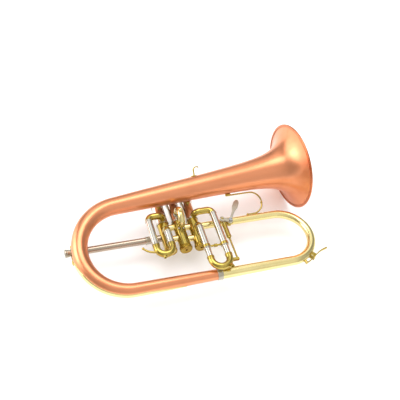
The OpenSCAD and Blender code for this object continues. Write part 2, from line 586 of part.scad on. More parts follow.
bell_flare();
bell_throat();
rim_wire();
bell_bow();
tail_tube();
ferrules();
bow_guard();
lower_tube();
front_bow();
upper_tube();
casing_1();
casing_2();
casing_3();
balusters();
bottom_caps();
top_caps();
casing_bridges();
piston_1();
piston_2();
piston_3();
button_1();
button_2();
button_3();
pearl_1();
pearl_2();
pearl_3();
felt_1();
felt_2();
felt_3();
spring_1();
spring_2();
spring_3();
leadpipe();
mouthpipe();
clamp_collar();
clamp_screw();
slide1_crook();
slide1_sleeves();
slide1_legs();
slide1_bow();
slide1_pull();
slide2_sleeves();
slide2_legs();
slide2_bow();
slide3_crook();
slide3_sleeves();
slide3_legs();
slide3_bow();
slide3_brace();
trigger_lever();
trigger_bracket();
trigger_screw();
trigger_rod();
water_key_lever();
water_key_saddle();
water_key_cork();
finger_hook();
loop_brace();
braces();
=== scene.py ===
"""A three-valve flugelhorn lying on its side: the looks of every piece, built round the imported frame."""

import math

import bmesh
import bpy
from mathutils import Matrix, Vector


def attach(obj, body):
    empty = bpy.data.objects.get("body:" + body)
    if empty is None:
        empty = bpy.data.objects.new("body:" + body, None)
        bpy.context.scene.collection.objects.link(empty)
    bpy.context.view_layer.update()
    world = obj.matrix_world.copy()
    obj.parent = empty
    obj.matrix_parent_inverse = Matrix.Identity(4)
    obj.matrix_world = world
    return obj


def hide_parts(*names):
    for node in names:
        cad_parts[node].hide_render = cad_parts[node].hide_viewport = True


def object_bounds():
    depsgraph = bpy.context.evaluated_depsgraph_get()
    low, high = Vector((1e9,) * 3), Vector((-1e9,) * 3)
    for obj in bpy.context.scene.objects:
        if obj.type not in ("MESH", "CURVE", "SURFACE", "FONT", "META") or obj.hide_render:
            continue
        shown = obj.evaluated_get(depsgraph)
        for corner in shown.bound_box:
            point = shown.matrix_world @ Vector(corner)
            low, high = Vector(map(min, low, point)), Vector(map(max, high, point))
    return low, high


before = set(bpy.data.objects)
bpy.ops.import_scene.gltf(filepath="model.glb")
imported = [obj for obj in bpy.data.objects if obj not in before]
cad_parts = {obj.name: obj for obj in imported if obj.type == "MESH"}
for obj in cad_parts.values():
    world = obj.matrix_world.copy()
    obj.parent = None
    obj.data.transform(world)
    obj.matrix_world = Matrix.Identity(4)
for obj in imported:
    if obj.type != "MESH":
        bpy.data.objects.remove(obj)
cad_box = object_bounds()

# Lengths are millimetres until place() turns them into metres.
# Points are measured from the foot of the second valve; FOOT is that foot in the frame.
MM = 0.001
FOOT = Vector((196.0, -34.0, 3.6))
X = Vector((1, 0, 0))
Y = Vector((0, 1, 0))
Z = Vector((0, 0, 1))

PITCH = 26.3
VALVES = {"1": -PITCH, "2": 0.0, "3": PITCH}
WALL = 0.7
THIN_WALL = 0.6

RIM_R = 76.0
RIM_X = 228.5
THROAT_R = 25.0
THROAT_TAPER = 0.0292
FLARE_LENGTH = 38.0
FLARE_POWER = -2.2
DRAW_IN = 60.0
TILT = math.radians(5.06)
SLANT = math.radians(11.3)
BOW_R = 75.4
BOW_X = -98.5
TAIL_Y = -56.8
TAIL_END = 38.0
TAIL_R = 8.8
BOW_TAIL_R = 10.6
BOW_APEX_R = 13.1
BOW_BELL_R = 15.1

FRONT_R = 50.3
FRONT_X = 172.5
UPPER_R = 6.8
LOWER_R = 8.1
UPPER_Y = TAIL_Y + 2 * FRONT_R

LEAD_Y = 34.0
LEAD_Z = -3.6
SLEEVE_R = 5.9
LEG_R = 5.2
S1_LEFT, S1_RIGHT, S1_Z = -53.0, -27.0, 20.0
S2_X, S2_LOW, S2_HIGH = 0.5, 41.5, 68.5
S3_LEFT, S3_RIGHT, S3_Z = 29.0, 60.0, 18.0
PIVOT = Vector((87.0, 36.0, 0.0))
ROD_X, ROD_Z = 74.0, 13.5
KEY_HUB_R = FRONT_R + LOWER_R + 4.6
KEY_HUB_AT, KEY_PAD_AT = -52, -70


# ---------------------------------------------------------------- surface effects

def new_group(name, inputs, outputs):
    """An empty shader group: inputs are (name, kind, default), outputs are (name, kind)."""
    group = bpy.data.node_groups.new(name, "ShaderNodeTree")
    for label, kind, default in inputs:
        socket = group.interface.new_socket(name=label, in_out="INPUT", socket_type=kind)
        socket.default_value = default
    for label, kind in outputs:
        group.interface.new_socket(name=label, in_out="OUTPUT", socket_type=kind)
    start = group.nodes.new("NodeGroupInput")
    end = group.nodes.new("NodeGroupOutput")
    return group, start, end


def math_node(tree, operation, a, b, clamp=False):
    """A Math node whose inputs are sockets or numbers."""
    node = tree.nodes.new("ShaderNodeMath")
    node.operation = operation
    node.use_clamp = clamp
    for socket, value in zip(node.inputs, (a, b)):
        if isinstance(value, (int, float)):
            socket.default_value = value
        else:
            tree.links.new(value, socket)
    return node.outputs[0]


def weighted_sum(tree, a, share_a, b, share_b):
    """Two sockets added together, each times its share."""
    part_a = math_node(tree, "MULTIPLY", a, share_a)
    return math_node(tree, "ADD", part_a, math_node(tree, "MULTIPLY", b, share_b))


def noise_node(tree, vector, scale, detail=3.0, rough=0.5):
    """A noise between 0 and 1 at vector."""
    node = tree.nodes.new("ShaderNodeTexNoise")
    node.inputs["Detail"].default_value = detail
    node.inputs["Roughness"].default_value = rough
    tree.links.new(vector, node.inputs["Vector"])
    if isinstance(scale, (int, float)):
        node.inputs["Scale"].default_value = scale
    else:
        tree.links.new(scale, node.inputs["Scale"])
    return node.outputs["Fac"]


def stretched_coordinate(tree, stretch):
    """The piece's own coordinates multiplied by the stretch socket, and the same unstretched."""
    place_node = tree.nodes.new("ShaderNodeTexCoord")
    node = tree.nodes.new("ShaderNodeVectorMath")
    node.operation = "MULTIPLY"
    tree.links.new(place_node.outputs["Object"], node.inputs[0])
    tree.links.new(stretch, node.inputs[1])
    return node.outputs[0], place_node.outputs["Object"]


def streaks_and_polish_group():
    """Drawn-out painted reflection streaks with a little random smudge for the colour, fine polishing
    marks for the roughness, and their height.
    """
    group, start, end = new_group(
        "painted streaks and polish",
        [("Stretch", "NodeSocketVector", (1.0, 1.0, 1.0)), ("Marks", "NodeSocketFloat", 0.5),
         ("Base roughness", "NodeSocketFloat", 0.2), ("Roughness spread", "NodeSocketFloat", 0.08)],
        [("Painted streaks", "NodeSocketFloat"), ("Roughness", "NodeSocketFloat"), ("Height", "NodeSocketFloat")])
    drawn, plain = stretched_coordinate(group, start.outputs["Stretch"])
    fine = noise_node(group, drawn, 9.0, 4.0, 0.6)
    painted_streak_noise = noise_node(group, drawn, 1.1, 2.0, 0.5)
    smudge = noise_node(group, plain, 38.0, 3.0, 0.55)
    # Painted reflection streaks: the broad noise, drawn out along the tubes, with a little random smudge
    # mixed in.
    streaks_and_smudge = weighted_sum(group, painted_streak_noise, 0.85, smudge, 0.15)
    mixed = weighted_sum(group, fine, 0.55, smudge, 0.45)
    centred = math_node(group, "SUBTRACT", mixed, 0.5)
    spread = math_node(group, "MULTIPLY", centred, start.outputs["Roughness spread"])
    doubled = math_node(group, "MULTIPLY", spread, 2.0)
    rough = math_node(group, "ADD", doubled, start.outputs["Base roughness"], True)
    group.links.new(streaks_and_smudge, end.inputs["Painted streaks"])
    group.links.new(rough, end.inputs["Roughness"])
    group.links.new(math_node(group, "MULTIPLY", fine, start.outputs["Marks"]), end.inputs["Height"])
    return group


def tarnish_group():
    """A soft mask of handling stains."""
    group, start, end = new_group(
        "tarnish",
        [("Amount", "NodeSocketFloat", 0.3), ("Size", "NodeSocketFloat", 30.0)],
        [("Stain", "NodeSocketFloat")])
    place_node = group.nodes.new("ShaderNodeTexCoord")
    cloud = noise_node(group, place_node.outputs["Object"], start.outputs["Size"], 5.0, 0.62)
    lifted = math_node(group, "SUBTRACT", cloud, 0.46)
    strong = math_node(group, "MULTIPLY", lifted, 3.2, True)
    group.links.new(math_node(group, "MULTIPLY", strong, start.outputs["Amount"]), end.inputs["Stain"])
    return group


STREAKS_AND_POLISH = streaks_and_polish_group()
TARNISH = tarnish_group()


# ---------------------------------------------------------------- materials

def mix_colour(tree, factor, a, b):
    """A blend of two colours; each is a socket or four numbers."""
    node = tree.nodes.new("ShaderNodeMix")
    node.data_type = "RGBA"
    tree.links.new(factor, node.inputs["Factor"])
    for socket, value in ((node.inputs["A"], a), (node.inputs["B"], b)):
        if isinstance(value, tuple):
            socket.default_value = value
        else:
            tree.links.new(value, socket)
    return node.outputs["Result"]


def colour(r, g, b):
    """An opaque colour."""
    return (r, g, b, 1.0)


def metal(name, pale, deep, stain, stretch, roughness, spread, marks, stained, coat, coat_rough,
          stain_size=30.0):
    """A lacquered or bare metal with polishing marks and painted reflection streaks along one direction,
    and faint handling stains.
    """
    material = bpy.data.materials.new(name)
    material.use_nodes = True
    tree = material.node_tree
    shader = tree.nodes["Principled BSDF"]
    polish_and_streaks = tree.nodes.new("ShaderNodeGroup")
    polish_and_streaks.node_tree = STREAKS_AND_POLISH
    polish_and_streaks.inputs["Stretch"].default_value = stretch
    polish_and_streaks.inputs["Marks"].default_value = 1.0
    polish_and_streaks.inputs["Base roughness"].default_value = roughness
    polish_and_streaks.inputs["Roughness spread"].default_value = spread
    worn = tree.nodes.new("ShaderNodeGroup")
    worn.node_tree = TARNISH
    worn.inputs["Amount"].default_value = stained
    worn.inputs["Size"].default_value = stain_size
    # Painted reflection streaks: the colour runs between pale and deep along them.
    base = mix_colour(tree, polish_and_streaks.outputs["Painted streaks"], pale, deep)
    base = mix_colour(tree, worn.outputs["Stain"], base, stain)
    tree.links.new(base, shader.inputs["Base Color"])
    dulled = math_node(tree, "MULTIPLY", worn.outputs["Stain"], 0.16)
    rough = math_node(tree, "ADD", polish_and_streaks.outputs["Roughness"], dulled, True)
    tree.links.new(rough, shader.inputs["Roughness"])
    bump = tree.nodes.new("ShaderNodeBump")
    bump.inputs["Strength"].default_value = marks
    bump.inputs["Distance"].default_value = 0.0002
    tree.links.new(polish_and_streaks.outputs["Height"], bump.inputs["Height"])
    tree.links.new(bump.outputs["Normal"], shader.inputs["Normal"])
    shader.inputs["Metallic"].default_value = 1.0
    shader.inputs["Coat Weight"].default_value = coat
    shader.inputs["Coat Roughness"].default_value = coat_rough
    shader.inputs["Coat IOR"].default_value = 1.5
    return material


# These stretches draw the painted reflection streaks and the polishing marks out along the horn, the pipes
# or the valves.
ALONG_HORN = (3.0, 75.0, 75.0)
ALONG_PIPES = (9.0, 260.0, 260.0)
ALONG_VALVES = (260.0, 9.0, 260.0)
ALL_WAYS = (160.0, 160.0, 160.0)

# Each metal's pale and deep colours are the two ends of its painted reflection streaks.
COPPER_PALE = colour(0.86, 0.36, 0.185)
COPPER_DEEP = colour(0.76, 0.26, 0.11)
COPPER_STAIN = colour(0.50, 0.15, 0.06)
BRASS_PALE = colour(0.92, 0.80, 0.42)
BRASS_DEEP = colour(0.80, 0.65, 0.25)
# Painted shade: a darker copy of the horn's lacquered brass, for the valves and the small fittings, stands
# in for the shade among the valves.
SHADED_BRASS_PALE = colour(0.64, 0.49, 0.12)
SHADED_BRASS_DEEP = colour(0.40, 0.28, 0.05)
# The bottom caps are a darker brass than the rest.
CAP_PALE = colour(0.46, 0.30, 0.045)
CAP_DEEP = colour(0.33, 0.20, 0.02)
BRASS_STAIN = colour(0.30, 0.18, 0.03)
NICKEL_PALE = colour(0.80, 0.77, 0.70)
NICKEL_DEEP = colour(0.64, 0.60, 0.52)
NICKEL_STAIN = colour(0.36, 0.31, 0.24)
DULL_PALE = colour(0.55, 0.51, 0.42)
DULL_DEEP = colour(0.40, 0.36, 0.28)
PIPE_PALE = colour(0.50, 0.41, 0.32)
PIPE_DEEP = colour(0.38, 0.30, 0.22)
STEEL_PALE = colour(0.50, 0.50, 0.51)
STEEL_DEEP = colour(0.38, 0.38, 0.40)
STEEL_STAIN = colour(0.20, 0.17, 0.14)

copper = metal("satin copper", COPPER_PALE, COPPER_DEEP, COPPER_STAIN, ALONG_HORN, roughness=0.31,
               spread=0.05, marks=0.06, stained=0.16, coat=0.15, coat_rough=0.2)
copper_rim = metal("polished copper rim", COPPER_DEEP, COPPER_STAIN, COPPER_STAIN, ALL_WAYS,
                   roughness=0.22, spread=0.06, marks=0.05, stained=0.35, coat=0.15, coat_rough=0.1)
brass = metal("lacquered brass along the horn", BRASS_PALE, BRASS_DEEP, BRASS_STAIN, ALONG_PIPES,
              roughness=0.17, spread=0.05, marks=0.05, stained=0.15, coat=0.2, coat_rough=0.06)
# The same lacquered brass as the horn, darkened for painted shade.
shaded_brass_upright = metal("lacquered brass along the valves", SHADED_BRASS_PALE, SHADED_BRASS_DEEP, BRASS_STAIN,
                      ALONG_VALVES, roughness=0.13, spread=0.05, marks=0.05, stained=0.35, coat=0.2,
                      coat_rough=0.05)
# The fittings take the same darkened brass, so they carry the same painted shade.
shaded_brass_small = metal("lacquered brass fittings, darkened for painted shade", SHADED_BRASS_PALE, SHADED_BRASS_DEEP, BRASS_STAIN, ALL_WAYS,
                    roughness=0.15, spread=0.06, marks=0.05, stained=0.45, coat=0.2, coat_rough=0.05,
                    stain_size=70.0)
dark_cap_brass = metal("darker brass caps", CAP_PALE, CAP_DEEP, BRASS_STAIN, ALL_WAYS, roughness=0.22,
                   spread=0.08, marks=0.05, stained=0.5, coat=0.08, coat_rough=0.08, stain_size=70.0)
nickel = metal("nickel silver along the valves", NICKEL_PALE, NICKEL_DEEP, NICKEL_STAIN, ALONG_VALVES,
               roughness=0.11, spread=0.04, marks=0.05, stained=0.2, coat=0.1, coat_rough=0.05)
nickel_pipe = metal("nickel silver along the leadpipe", PIPE_PALE, PIPE_DEEP, NICKEL_STAIN, ALONG_PIPES,
                    roughness=0.2, spread=0.06, marks=0.06, stained=0.35, coat=0.1, coat_rough=0.08)
nickel_small = metal("nickel silver fittings", NICKEL_DEEP, DULL_PALE, NICKEL_STAIN, ALL_WAYS,
                     roughness=0.2, spread=0.06, marks=0.05, stained=0.3, coat=0.1, coat_rough=0.05,
                     stain_size=70.0)
nickel_dull = metal("dull nickel silver", DULL_PALE, DULL_DEEP, NICKEL_STAIN, ALL_WAYS, roughness=0.33,
                    spread=0.08, marks=0.06, stained=0.4, coat=0.1, coat_rough=0.1, stain_size=70.0)
steel = metal("spring steel", STEEL_PALE, STEEL_DEEP, STEEL_STAIN, ALL_WAYS, roughness=0.25, spread=0.08,
              marks=0.1, stained=0.4, coat=0.0, coat_rough=0.1, stain_size=90.0)


def pearl_material():
    """Mother of pearl: clouded white with thin pink and green bands."""
    material = bpy.data.materials.new("mother of pearl")
    material.use_nodes = True
    tree = material.node_tree
    shader = tree.nodes["Principled BSDF"]
    place_node = tree.nodes.new("ShaderNodeTexCoord")
    cloud = noise_node(tree, place_node.outputs["Object"], 260.0, 4.0, 0.6)
    ramp = tree.nodes.new("ShaderNodeValToRGB")
    ramp.color_ramp.elements[0].position = 0.3
    ramp.color_ramp.elements[0].color = colour(0.78, 0.86, 0.80)
    ramp.color_ramp.elements[1].position = 0.7
    ramp.color_ramp.elements[1].color = colour(0.90, 0.80, 0.82)
    middle = ramp.color_ramp.elements.new(0.5)
    middle.color = colour(0.93, 0.92, 0.88)
    tree.links.new(cloud, ramp.inputs["Fac"])
    tree.links.new(ramp.outputs["Color"], shader.inputs["Base Color"])
    tree.links.new(math_node(tree, "MULTIPLY", cloud, 0.3), shader.inputs["Roughness"])
    shader.inputs["Coat Weight"].default_value = 0.8
    shader.inputs["Coat Roughness"].default_value = 0.05
    return material


def fibre_material(name, pale, deep, grain, roughness, strength):
    """Felt or cork: a fine grain in the colour and the height."""
    material = bpy.data.materials.new(name)
    material.use_nodes = True
    tree = material.node_tree
    shader = tree.nodes["Principled BSDF"]
    place_node = tree.nodes.new("ShaderNodeTexCoord")
    fine = noise_node(tree, place_node.outputs["Object"], grain, 5.0, 0.7)
    tree.links.new(mix_colour(tree, fine, pale, deep), shader.inputs["Base Color"])
    bump = tree.nodes.new("ShaderNodeBump")
    bump.inputs["Strength"].default_value = strength
    bump.inputs["Distance"].default_value = 0.0004
    tree.links.new(fine, bump.inputs["Height"])
    tree.links.new(bump.outputs["Normal"], shader.inputs["Normal"])
    rough = math_node(tree, "ADD", math_node(tree, "MULTIPLY", fine, 0.1), roughness)
    tree.links.new(rough, shader.inputs["Roughness"])
    return material


pearl = pearl_material()
felt = fibre_material("black felt", colour(0.035, 0.035, 0.04), colour(0.012, 0.012, 0.014), 2600.0,
                      0.85, 0.8)
cork = fibre_material("cork", colour(0.62, 0.44, 0.26), colour(0.30, 0.17, 0.08), 900.0, 0.75, 0.7)


# ---------------------------------------------------------------- making pieces

def place(point):
    """A point in millimetres from the valve foot, as metres in the frame."""
    return (FOOT + Vector(point)) * MM


def make_piece(name, points, faces, look, body, stands_for=(), sharp=38.0):
    """A mesh piece from points in millimetres, with its material and body set."""
    mesh = bpy.data.meshes.new(name)
    mesh.from_pydata([place(p) for p in points], [], faces)
    built = bmesh.new()
    built.from_mesh(mesh)
    bmesh.ops.remove_doubles(built, verts=built.verts, dist=1e-7)
    bmesh.ops.recalc_face_normals(built, faces=built.faces)
    built.to_mesh(mesh)
    built.free()
    mesh.shade_smooth()
    mesh.set_sharp_from_angle(angle=math.radians(sharp))
    mesh.materials.append(look)
    piece = bpy.data.objects.new(name, mesh)
    bpy.context.scene.collection.objects.link(piece)
    weighted = piece.modifiers.new("even normals", "WEIGHTED_NORMAL")
    weighted.keep_sharp = True
    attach(piece, body)
    if stands_for:
        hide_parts(*stands_for)
    return piece


class Shape:
    """Points and faces of one or more closed forms, gathered into one piece."""

    def __init__(self):
        self.points = []
        self.faces = []

    def add(self, points, faces):
        """Adds one form; its faces count from its own first point."""
        first = len(self.points)
        self.points.extend(Vector(p) for p in points)
        self.faces.extend([first + i for i in face] for face in faces)
        return self

    def piece(self, name, look, body, stands_for=(), sharp=38.0):
        """Makes the piece; edges sharper than sharp degrees stay hard."""
        return make_piece(name, self.points, self.faces, look, body, stands_for, sharp)


def square_to(axis):
    """Two unit directions square to axis."""
    side = Z if abs(axis.z) < 0.9 else X
    first = axis.cross(side).normalized()
    return first, axis.cross(first).normalized()


def eased(profile, size, closed):
    """The profile with each corner rounded by about size."""
    count = len(profile)
    out = []
    for i, corner in enumerate(profile):
        if not closed and i in (0, count - 1):
            out.append(corner)
            continue
        before, after = profile[i - 1], profile[(i + 1) % count]
        here = Vector(corner)
        back, on = Vector(before) - here, Vector(after) - here
        if back.length < 1e-6 or on.length < 1e-6 or back.angle(on) > math.radians(168):
            out.append(corner)
            continue
        start = here + back.normalized() * min(size, back.length * 0.45)
        end = here + on.normalized() * min(size, on.length * 0.45)
        middle = start * 0.25 + here * 0.5 + end * 0.25
        out.extend([tuple(start), tuple(middle), tuple(end)])
    return out


def ring_faces(rows, sides, closed):
    """Quads between successive rings of sides points; closed also joins the last ring to the first."""
    faces = []
    for row in range(rows if closed else rows - 1):
        low, high = row * sides, ((row + 1) % rows) * sides
        for i in range(sides):
            j = (i + 1) % sides
            faces.append([low + i, high + i, high + j, low + j])
    return faces


def turned(shape, base, axis, profile, sides=48, ease=0.15, closed=True, knurl=None):
    """Adds a form turned round the axis. The profile is (distance along, radius); an open one ends
    on the axis. knurl is (from, to, teeth, depth, least radius): there the radius goes in and out."""
    base, axis = Vector(base), Vector(axis).normalized()
    u, w = square_to(axis)
    outline = eased(profile, ease, closed) if ease else list(profile)
    if knurl:
        sides = knurl[2] * 4
    points = []
    for along, radius in outline:
        for i in range(sides):
            r = max(radius, 0.0005)
            if knurl and knurl[0] <= along <= knurl[1] and radius > knurl[4]:
                r -= knurl[3] * (0.0, 0.55, 1.0, 0.55)[i % 4]
            angle = 2 * math.pi * i / sides
            points.append(base + axis * along + (u * math.cos(angle) + w * math.sin(angle)) * r)
    faces = ring_faces(len(outline), sides, closed)
    if not closed:
        faces.append(list(range(sides)))
        faces.append([(len(outline) - 1) * sides + i for i in range(sides)])
    return shape.add(points, faces)


def beaded(low, high, outer, inner, bead=0.35, width=1.1):
    """The profile of a ferrule with a raised bead at each end."""
    return [(low, inner), (low, outer), (low + width * 0.3, outer + bead), (low + width, outer + bead),
            (low + width * 1.3, outer), (high - width * 1.3, outer), (high - width, outer + bead),
            (high - width * 0.3, outer + bead), (high, outer), (high, inner)]


def swept(shape, centres, outs, binormal, radii, wall, sides=48):
    """Adds a hollow tube along centres; outs are the directions away from the bend's centre."""
    count = len(centres)
    points = []
    for skin in (0.0, wall):
        rows = range(count) if skin == 0.0 else range(count - 1, -1, -1)
        for k in rows:
            for i in range(sides):
                angle = 2 * math.pi * i / sides
                side = outs[k] * math.cos(angle) + binormal * math.sin(angle)
                points.append(centres[k] + side * (radii[k] - skin))
    return shape.add(points, ring_faces(2 * count, sides, True))


def smooth_path(knots, steps=8):
    """A Catmull-Rom curve through the knots."""
    knots = [Vector(k) for k in knots]
    padded = [2 * knots[0] - knots[1]] + knots + [2 * knots[-1] - knots[-2]]
    path = []
    for i in range(1, len(padded) - 2):
        a, b, c, d = padded[i - 1:i + 3]
        for step in range(steps):
            t = step / steps
            path.append(0.5 * (2 * b + (c - a) * t + (2 * a - 5 * b + 4 * c - d) * t * t
                               + (3 * b - a - 3 * c + d) * t ** 3))
    path.append(knots[-1])
    return path


def rod(shape, path, radii, sides=20, flat=1.0, flat_axis=None):
    """Adds a solid rod with rounded ends along path. flat thins the section across flat_axis."""
    path = [Vector(p) for p in path]
    count = len(path)
    if isinstance(radii, (int, float)):
        radii = [radii] * count
    tangents = [(path[min(i + 1, count - 1)] - path[max(i - 1, 0)]).normalized() for i in range(count)]
    caps = [(0.02, 1.0), (0.35, 0.94), (0.7, 0.71), (0.94, 0.34)]
    stations = [(path[0] - tangents[0] * radii[0] * up * flat, tangents[0], radii[0], k)
                for k, up in caps]
    stations += [(path[i], tangents[i], radii[i], 1.0) for i in range(count)]
    stations += [(path[-1] + tangents[-1] * radii[-1] * up * flat, tangents[-1], radii[-1], k)
                 for k, up in reversed(caps)]
    normal = Vector(flat_axis) if flat_axis else square_to(tangents[0])[0]
    points = []
    for centre, tangent, radius, k in stations:
        normal = (normal - tangent * normal.dot(tangent)).normalized()
        side = tangent.cross(normal)
        for i in range(sides):
            angle = 2 * math.pi * i / sides
            c, s = math.cos(angle), math.sin(angle)
            if flat != 1.0:
                c, s = (math.copysign(abs(v) ** 0.6, v) for v in (c, s))
            points.append(centre + (normal * c * flat + side * s) * radius * k)
    faces = ring_faces(len(stations), sides, False)
    faces.append(list(range(sides)))
    faces.append([(len(stations) - 1) * sides + i for i in range(sides)])
    return shape.add(points, faces)


def ball(shape, centre, radius, axis=Z, sides=28):
    """Adds a turned ball."""
    steps = [math.pi * k / 14 for k in range(15)]
    profile = [(-radius * math.cos(a), radius * math.sin(a)) for a in steps]
    return turned(shape, centre, axis, profile, sides, 0, False)


def plate(shape, outline, origin, along, across, thickness, ease=0.5):
    """Adds a flat plate with rounded edges. The outline is (along, across) pairs, and the thickness
    goes the way of along x across."""
    origin = Vector(origin)
    along = Vector(along).normalized()
    across = Vector(across).normalized()
    rise = along.cross(across)
    middle = Vector((sum(p[0] for p in outline), sum(p[1] for p in outline))) / len(outline)
    rows = []
    for height, inset in ((0, ease), (ease * 0.3, ease * 0.3), (ease, 0), (thickness - ease, 0),
                          (thickness - ease * 0.3, ease * 0.3), (thickness, ease)):
        row = []
        for i, p in enumerate(outline):
            before, after = Vector(outline[i - 1]), Vector(outline[(i + 1) % len(outline)])
            run = (after - before).normalized()
            inward = Vector((-run.y, run.x))
            if inward.dot(middle - Vector(p)) < 0:
                inward = -inward
            q = Vector(p) + inward * inset
            row.append(origin + along * q.x + across * q.y + rise * height)
        rows.extend(row)
    sides = len(outline)
    faces = ring_faces(6, sides, False)
    faces.append(list(range(sides)))
    faces.append([5 * sides + i for i in range(sides)])
    return shape.add(rows, faces)


# ---------------------------------------------------------------- bell, bow and tail

def in_bow_plane(x, width, rise=0.0):
    """A point in the slanted plane of the bell and bow, at a width up the slope from the tail line."""
    return Vector((x, TAIL_Y, 0)) + UPSLOPE * width + SLOPE_NORMAL * rise


UPSLOPE = Vector((0, math.cos(SLANT), math.sin(SLANT)))
SLOPE_NORMAL = Vector((0, -math.sin(SLANT), math.cos(SLANT)))
BELL_AXIS = X * math.cos(TILT) + UPSLOPE * math.sin(TILT)
BELL_X = BOW_X - BOW_R * math.sin(TILT)
BELL_START = in_bow_plane(BELL_X, BOW_R * (1 + math.cos(TILT)))
BELL_LENGTH = (RIM_X - BELL_X) / math.cos(TILT)


def flare_radius(behind):
    """Radius of the flare's own curve at a distance behind the rim."""
    flare = (RIM_R - THROAT_R) * (1 + behind / FLARE_LENGTH) ** FLARE_POWER
    return THROAT_R - THROAT_TAPER * behind + flare


def bell_radius(behind):
    """Outer radius at a distance behind the rim; the last stretch draws in to meet the bow."""
    t = min(max((behind - BELL_LENGTH + DRAW_IN) / DRAW_IN, 0), 1)
    end_step = flare_radius(BELL_LENGTH) - BOW_BELL_R
    return flare_radius(behind) - end_step * t * t * (3 - 2 * t)


def bell_centre(x):
    """The bell's centre line where it crosses x."""
    return BELL_START + BELL_AXIS * ((x - BELL_X) / math.cos(TILT))


def make_bell():
    """The flare and throat as one spun sheet, and the wire rolled into its rim."""
    rows, first = 90, 0.6
    behind = [first + (BELL_LENGTH - first) * (k / rows) ** 1.7 for k in range(rows + 1)]
    outside = [(BELL_LENGTH - d, bell_radius(d)) for d in behind]
    inside = []
    for d in behind:
        slope = (bell_radius(d + 0.5) - bell_radius(d)) / 0.5
        lean = math.hypot(1, slope)
        along = BELL_LENGTH - d - WALL * slope / lean
        inside.append((max(along, 0.0), bell_radius(d) - WALL / lean))
    inside[-1] = (0.0, inside[-1][1])
    shape = Shape()
    turned(shape, BELL_START, BELL_AXIS, outside + inside[::-1], 144, 0)
    shape.piece("bell", copper, "horn", ("bell_flare", "bell_throat"), 60)

    wire = 1.5
    shape = Shape()
    rim = BELL_START + BELL_AXIS * BELL_LENGTH
    steps = [2 * math.pi * k / 20 for k in range(20)]
    circle = [(wire * math.cos(a), RIM_R + wire * math.sin(a)) for a in steps]
    turned(shape, rim, BELL_AXIS, circle, 144, 0)
    lip = [(-1.7, RIM_R - 3.1), (-1.9, RIM_R - 1.3), (-1.2, RIM_R - 0.2), (-0.9, RIM_R - 1.0),
           (-1.1, RIM_R - 2.6)]
    turned(shape, rim, BELL_AXIS, lip, 144, 0)
    shape.piece("rim_roll", copper_rim, "horn", ("rim_wire",), 60)


def bow_radius(angle):
    """Tube radius round the bell bow, from the tail (0) to the bell."""
    if angle < math.pi / 2:
        return BOW_TAIL_R + (BOW_APEX_R - BOW_TAIL_R) * angle / (math.pi / 2)
    return BOW_APEX_R + (BOW_BELL_R - BOW_APEX_R) * (angle - math.pi / 2) / (math.pi / 2 - TILT)


def bow_out(angle):
    """The direction away from the bell bow's centre."""
    return -X * math.sin(angle) - UPSLOPE * math.cos(angle)


def bow_point(angle):
    """A point on the bell bow's centre line."""
    return in_bow_plane(BOW_X, BOW_R) + bow_out(angle) * BOW_R


def tail_radius(x):
    """Outer radius of the tail at x."""
    return BOW_TAIL_R + (TAIL_R - BOW_TAIL_R) * (x - BOW_X) / (TAIL_END - BOW_X)


def straight_tube(shape, start, start_r, end, end_r, wall, sides):
    """Adds a tapering tube along the tail line, between two places on it."""
    profile = [(start, start_r), (end, end_r), (end, end_r - wall), (start, start_r - wall)]
    return turned(shape, (0, TAIL_Y, 0), X, profile, sides, 0)


def make_bow():
    """The big bow behind the bell, and the straight tail that leaves it."""
    angles = [(math.pi - TILT) * k / 110 for k in range(111)]
    shape = Shape()
    swept(shape, [bow_point(a) for a in angles], [bow_out(a) for a in angles], SLOPE_NORMAL,
          [bow_radius(a) for a in angles], WALL, 72)
    shape.piece("bell_bow_tube", copper, "horn", ("bell_bow",), 60)

    shape = Shape()
    straight_tube(shape, BOW_X, BOW_TAIL_R, TAIL_END, TAIL_R, WALL, 72)
    shape.piece("tail", copper, "horn", ("tail_tube",), 60)


GUARD_END_X = -20.0
GUARD_SWEEP = math.radians(80)


def make_guard():
    """The brass strip that guards the outside of the bow, narrowing to a tip along the tail."""
    along_tail, round_bow, ribs = 30, 60, 14
    total = along_tail + round_bow
    rows = []
    for i in range(total + 1):
        if i < along_tail:
            x = GUARD_END_X + (BOW_X - GUARD_END_X) * i / along_tail
            centre, out, tube = in_bow_plane(x, 0), -UPSLOPE, tail_radius(x)
        else:
            angle = GUARD_SWEEP * (i - along_tail) / round_bow
            centre, out, tube = bow_point(angle), bow_out(angle), bow_radius(angle)
        widen = min(1.0, i / 24, (total - i) / 13)
        half = math.radians(6 + 24 * widen)
        for side in (1, -1):
            for k in range(ribs + 1):
                t = side * (1 - 2 * k / ribs)
                height = 1.25 * (1 - abs(t) ** 5) ** 0.5 + 0.05 if side == 1 else -0.12
                a = half * t
                rows.append(centre + (out * math.cos(a) + SLOPE_NORMAL * math.sin(a)) * (tube + height))
    sides = 2 * (ribs + 1)
    faces = ring_faces(total + 1, sides, False)
    faces.append(list(range(sides)))
    faces.append([total * sides + i for i in range(sides)])
    shape = Shape().add(rows, faces)
    tip = in_bow_plane(GUARD_END_X, 0) - UPSLOPE * (tail_radius(GUARD_END_X) + 0.4)
    rod(shape, [tip - X * 1.5, tip + X * 1.6], [1.1, 0.8], 16)
    shape.piece("bow_guard_strip", brass, "horn", ("bow_guard",), 50)


# ---------------------------------------------------------------- front bow and ferrules

